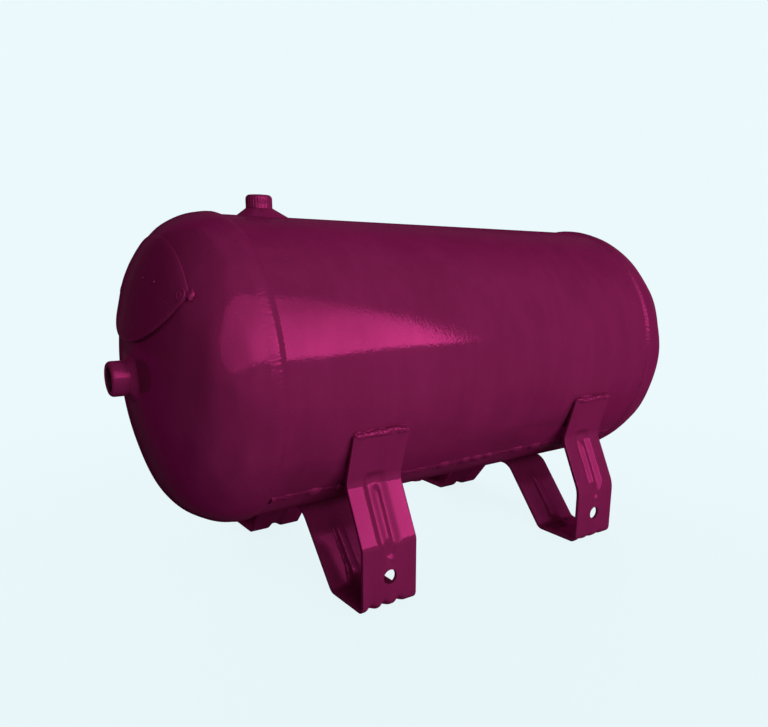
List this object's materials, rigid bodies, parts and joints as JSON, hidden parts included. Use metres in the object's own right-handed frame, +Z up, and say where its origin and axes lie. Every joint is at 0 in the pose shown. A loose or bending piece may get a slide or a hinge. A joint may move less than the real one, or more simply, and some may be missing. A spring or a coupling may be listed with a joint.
{
  "type": "horizontal pressure tank",
  "caption": "Horizontal steel air receiver tank with dished ends, threaded sockets, a plate on one end and pressed foot straps with bolt holes.",
  "frame": {"origin": "on the floor below the middle of the tank", "axes": "+X along the tank axis away from the end with the plate, +Z up, front of the tank towards -Y"},
  "size_m": [0.5638, 0.255, 0.314],
  "materials": {
    "tank_paint": "glossy magenta-wine paint on rolled and dished steel",
    "strap_paint": "glossy magenta-wine paint on pressed steel strip",
    "plate_paint": "glossy magenta-wine paint on thin sheet",
    "socket_paint": "glossy magenta-wine paint on turned steel, bare steel in the bore",
    "weld_paint": "glossy magenta-wine paint over weld beads"
  },
  "bodies": {
    "root": {"shell": "tank_paint", "left_head": "tank_paint", "right_head": "tank_paint", "left_foot_strap": "strap_paint", "right_foot_strap": "strap_paint", "head_plate": "plate_paint", "top_socket": "socket_paint", "left_end_socket": "socket_paint", "right_end_socket": "socket_paint", "drain_socket": "socket_paint", "shell_seam_weld": "weld_paint", "left_head_weld": "weld_paint", "right_head_weld": "weld_paint", "top_socket_weld": "weld_paint", "left_end_socket_weld": "weld_paint", "right_end_socket_weld": "weld_paint", "drain_socket_weld": "weld_paint", "left_front_tab_weld": "weld_paint", "left_back_tab_weld": "weld_paint", "left_saddle_left_weld": "weld_paint", "left_saddle_right_weld": "weld_paint", "right_front_tab_weld": "weld_paint", "right_back_tab_weld": "weld_paint", "right_saddle_left_weld": "weld_paint", "right_saddle_right_weld": "weld_paint", "head_plate_front_weld": "weld_paint", "head_plate_back_weld": "weld_paint"}
  },
  "joints": []
}
